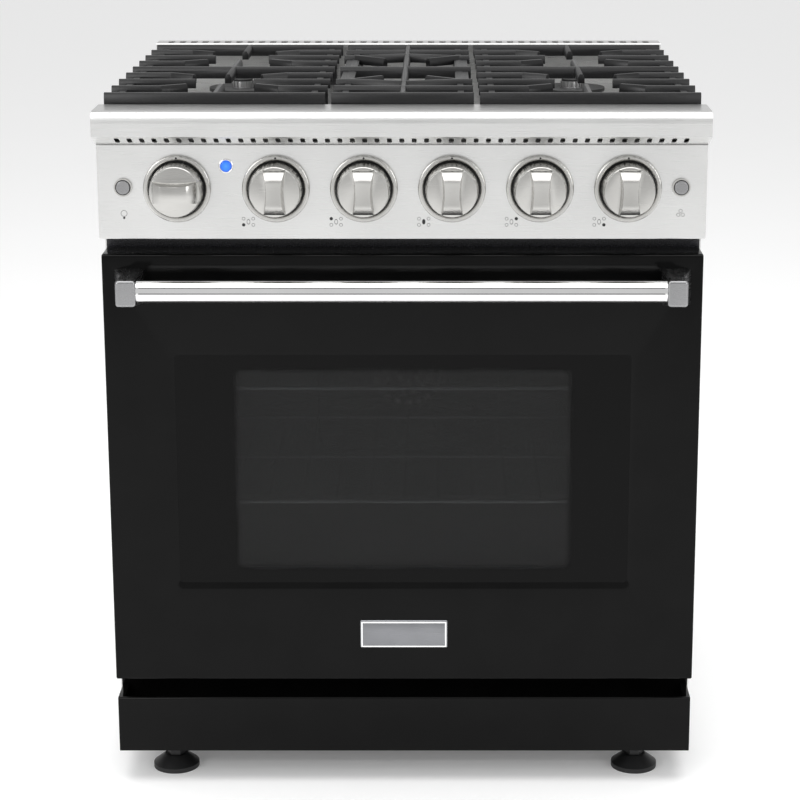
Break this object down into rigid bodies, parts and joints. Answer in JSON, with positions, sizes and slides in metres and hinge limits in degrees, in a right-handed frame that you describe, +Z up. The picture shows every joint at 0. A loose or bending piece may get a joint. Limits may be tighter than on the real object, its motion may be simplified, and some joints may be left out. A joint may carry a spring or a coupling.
{
  "type": "freestanding gas range",
  "caption": "Freestanding gas range with lift-off cast-iron grates, turning and pushing knobs, a drop-down oven door with a window and a bar handle, sliding racks and levelling legs.",
  "frame": {"origin": "centre of the overall box, on the floor under the levelling legs", "axes": "+Z up, front (oven door and knobs) towards -Y, +X to the right as the user faces the range's front from the room"},
  "size_m": [0.759, 0.753, 0.909],
  "materials": {
    "stainless_brushed": "brushed, grain along the width",
    "galvanised_steel": "zinc spangle",
    "black_enamel": "gloss black",
    "dark_enamel": "speckled porcelain enamel",
    "cast_iron_enamel": "matte black enamel",
    "burner_aluminium": "cast",
    "burner_enamel": "satin black enamel",
    "ceramic": "glazed ceramic",
    "satin_nickel": "satin",
    "valve_brass": "machined",
    "polished_steel": "polished",
    "blue_lens": "clear tinted",
    "steel_tube": "mill finish",
    "aluminium_tube": "drawn",
    "regulator_casting": "die cast",
    "fibreglass": "blanket",
    "gasket_fibre": "woven rope",
    "rack_chrome": "bright wire",
    "fan_steel": "pressed",
    "motor_steel": "laminated",
    "lamp_glass": "moulded",
    "hinge_steel": "zinc plated",
    "outer_glass": "tinted, black border",
    "inner_glass": "clear",
    "black_plastic": "moulded"
  },
  "bodies": {
    "root": {"base_pan": "black_enamel", "bullnose": "stainless_brushed", "burner_caps": "burner_enamel", "burner_heads": "burner_aluminium", "burner_tubes": "aluminium_tube", "case_screws": "hinge_steel", "center_burner_cap": "burner_enamel", "center_burner_head": "burner_aluminium", "control_panel": "stainless_brushed", "cooktop_deck": "stainless_brushed", "cord_gland": "black_plastic", "door_gasket": "gasket_fibre", "fan_cover": "dark_enamel", "fan_motor": "motor_steel", "gas_manifold": "steel_tube", "gas_regulator": "regulator_casting", "gas_valves": "valve_brass", "hinge_receivers": "hinge_steel", "indicator_lens": "blue_lens", "insulation_wrap": "fibreglass", "kick_panel": "black_enamel", "leveling_legs": "black_plastic", "oven_burners": "steel_tube", "oven_floor_plate": "dark_enamel", "oven_lamp": "lamp_glass", "oven_liner": "dark_enamel", "rear_panel": "galvanised_steel", "rear_trim": "stainless_brushed", "side_panel_left": "stainless_brushed", "side_panel_right": "stainless_brushed", "spark_electrodes": "ceramic", "trim_rings": "satin_nickel"},
    "door": {"door_skin": "black_enamel", "door_liner": "dark_enamel", "door_glass_outer": "outer_glass", "door_glass_inner": "inner_glass", "hinge_arms": "hinge_steel", "handle_bar": "polished_steel", "handle_brackets": "polished_steel", "badge_plate": "polished_steel"},
    "grate_left": {"grate_left": "cast_iron_enamel"},
    "grate_center": {"grate_center": "cast_iron_enamel"},
    "grate_right": {"grate_right": "cast_iron_enamel"},
    "rack_lower": {"rack_lower": "rack_chrome"},
    "rack_upper": {"rack_upper": "rack_chrome"},
    "fan_blade": {"fan_blade": "fan_steel"},
    "button_light": {"button_light": "polished_steel"},
    "button_fan": {"button_fan": "polished_steel"},
    "valve_stem_oven": {"valve_stem_oven": "valve_brass"},
    "knob_oven": {"knob_oven": "satin_nickel"},
    "valve_stem_front_left": {"valve_stem_front_left": "valve_brass"},
    "knob_front_left": {"knob_front_left": "satin_nickel"},
    "valve_stem_rear_left": {"valve_stem_rear_left": "valve_brass"},
    "knob_rear_left": {"knob_rear_left": "satin_nickel"},
    "valve_stem_center": {"valve_stem_center": "valve_brass"},
    "knob_center": {"knob_center": "satin_nickel"},
    "valve_stem_rear_right": {"valve_stem_rear_right": "valve_brass"},
    "knob_rear_right": {"knob_rear_right": "satin_nickel"},
    "valve_stem_front_right": {"valve_stem_front_right": "valve_brass"},
    "knob_front_right": {"knob_front_right": "satin_nickel"}
  },
  "joints": [
    {"name": "oven_door", "type": "hinge", "parent": "root", "child": "door", "pos_m": [0, -0.2745, 0.16], "axis": [1, 0, 0], "range_deg": [0, 90], "stiffness_Nm_per_rad": 12, "springref_deg": -20.05},
    {"name": "rack_lower_slide", "type": "slide", "parent": "root", "child": "rack_lower", "axis": [0, -1, 0], "range_m": [0, 0.2501]},
    {"name": "rack_upper_slide", "type": "slide", "parent": "root", "child": "rack_upper", "axis": [0, -1, 0], "range_m": [0, 0.2501]},
    {"name": "fan_spin", "type": "hinge", "parent": "root", "child": "fan_blade", "pos_m": [0, 0.2, 0.4375], "axis": [0, 1, 0], "continuous": true},
    {"name": "grate_left_lift", "type": "slide", "parent": "root", "child": "grate_left", "axis": [0, 0, 1], "range_m": [0, 0.15]},
    {"name": "grate_center_lift", "type": "slide", "parent": "root", "child": "grate_center", "axis": [0, 0, 1], "range_m": [0, 0.15]},
    {"name": "grate_right_lift", "type": "slide", "parent": "root", "child": "grate_right", "axis": [0, 0, 1], "range_m": [0, 0.15]},
    {"name": "button_light_push", "type": "slide", "parent": "root", "child": "button_light", "axis": [0, 1, 0], "range_m": [0, 0.003], "stiffness_N_per_m": 800},
    {"name": "button_fan_push", "type": "slide", "parent": "root", "child": "button_fan", "axis": [0, 1, 0], "range_m": [0, 0.003], "stiffness_N_per_m": 800},
    {"name": "knob_oven_turn", "type": "hinge", "parent": "root", "child": "valve_stem_oven", "pos_m": [-0.279, -0.3045, 0.797], "axis": [0, -1, 0], "range_deg": [0, 270]},
    {"name": "knob_oven_push", "type": "slide", "parent": "valve_stem_oven", "child": "knob_oven", "axis": [0, 1, 0], "range_m": [0, 0.003], "stiffness_N_per_m": 1500},
    {"name": "knob_front_left_turn", "type": "hinge", "parent": "root", "child": "valve_stem_front_left", "pos_m": [-0.1565, -0.3045, 0.797], "axis": [0, -1, 0], "range_deg": [0, 220]},
    {"name": "knob_front_left_push", "type": "slide", "parent": "valve_stem_front_left", "child": "knob_front_left", "axis": [0, 1, 0], "range_m": [0, 0.003], "stiffness_N_per_m": 1500},
    {"name": "knob_rear_left_turn", "type": "hinge", "parent": "root", "child": "valve_stem_rear_left", "pos_m": [-0.0474, -0.3045, 0.797], "axis": [0, -1, 0], "range_deg": [0, 220]},
    {"name": "knob_rear_left_push", "type": "slide", "parent": "valve_stem_rear_left", "child": "knob_rear_left", "axis": [0, 1, 0], "range_m": [0, 0.003], "stiffness_N_per_m": 1500},
    {"name": "knob_center_turn", "type": "hinge", "parent": "root", "child": "valve_stem_center", "pos_m": [0.0617, -0.3045, 0.797], "axis": [0, -1, 0], "range_deg": [0, 220]},
    {"name": "knob_center_push", "type": "slide", "parent": "valve_stem_center", "child": "knob_center", "axis": [0, 1, 0], "range_m": [0, 0.003], "stiffness_N_per_m": 1500},
    {"name": "knob_rear_right_turn", "type": "hinge", "parent": "root", "child": "valve_stem_rear_right", "pos_m": [0.1708, -0.3045, 0.797], "axis": [0, -1, 0], "range_deg": [0, 220]},
    {"name": "knob_rear_right_push", "type": "slide", "parent": "valve_stem_rear_right", "child": "knob_rear_right", "axis": [0, 1, 0], "range_m": [0, 0.003], "stiffness_N_per_m": 1500},
    {"name": "knob_front_right_turn", "type": "hinge", "parent": "root", "child": "valve_stem_front_right", "pos_m": [0.2799, -0.3045, 0.797], "axis": [0, -1, 0], "range_deg": [0, 220]},
    {"name": "knob_front_right_push", "type": "slide", "parent": "valve_stem_front_right", "child": "knob_front_right", "axis": [0, 1, 0], "range_m": [0, 0.003], "stiffness_N_per_m": 1500}
  ],
  "couplings": [
    {"joint": "rack_lower_slide", "follows": "oven_door", "m_per_rad": 0.15915},
    {"joint": "rack_upper_slide", "follows": "oven_door", "m_per_rad": 0.15915}
  ]
}
